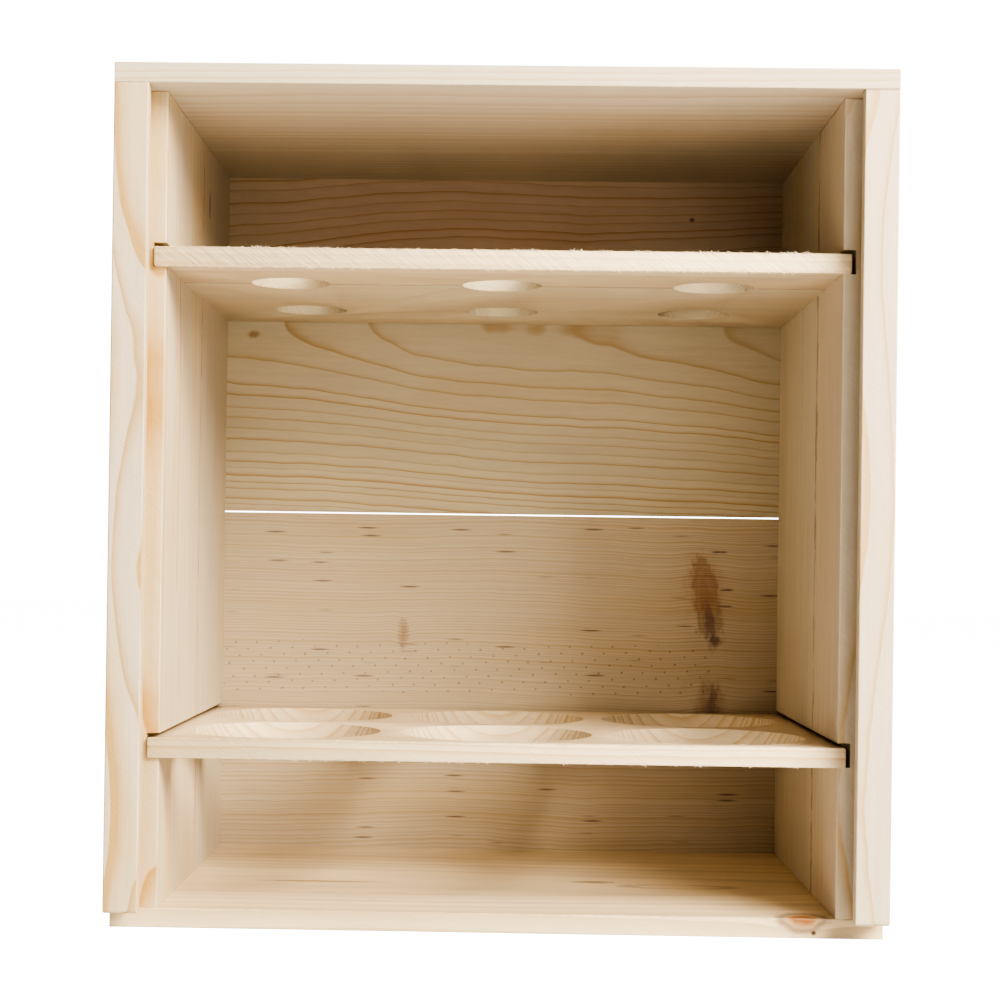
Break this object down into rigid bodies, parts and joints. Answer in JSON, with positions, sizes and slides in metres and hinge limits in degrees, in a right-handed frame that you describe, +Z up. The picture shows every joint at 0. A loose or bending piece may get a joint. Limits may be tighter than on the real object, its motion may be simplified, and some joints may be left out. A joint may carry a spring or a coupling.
{
  "type": "wooden wine box",
  "caption": "Upright open-fronted softwood box with side lips for a sliding lid and pull-out racks with round holes that hold bottles by body and neck.",
  "frame": {"origin": "middle of the box's footprint, on the surface that it stands on", "axes": "+Z up; the open front faces -Y; +X to the right of someone facing the open front"},
  "size_m": [0.2924, 0.1914, 0.325],
  "materials": {
    "side_wood": "planed, unfinished",
    "board_wood": "planed, unfinished",
    "back_wood": "sawn, unfinished",
    "rack_wood": "sawn, unfinished",
    "staple_wire": "bright wire"
  },
  "bodies": {
    "casing": {"top_board": "board_wood", "bottom_board": "board_wood", "left_wall_front_stave": "side_wood", "left_wall_rear_stave": "side_wood", "right_wall_front_stave": "side_wood", "right_wall_rear_stave": "side_wood", "back_board_lower": "back_wood", "back_board_upper": "back_wood", "top_staples": "staple_wire", "bottom_staples": "staple_wire", "back_staples": "staple_wire"},
    "lower_rack": {"bottle_rack": "rack_wood"},
    "upper_rack": {"neck_rack_rear_board": "rack_wood"},
    "upper_rack_strip": {"neck_rack_front_strip": "rack_wood"}
  },
  "joints": [
    {"name": "bottle_rack_slide", "type": "slide", "parent": "casing", "child": "lower_rack", "axis": [0, -1, 0], "range_m": [0, 0.19]},
    {"name": "neck_rack_slide", "type": "slide", "parent": "casing", "child": "upper_rack", "axis": [0, -1, 0], "range_m": [0, 0.19]},
    {"name": "neck_strip_slide", "type": "slide", "parent": "upper_rack", "child": "upper_rack_strip", "axis": [0, -1, 0], "range_m": [0, 0.065]}
  ]
}
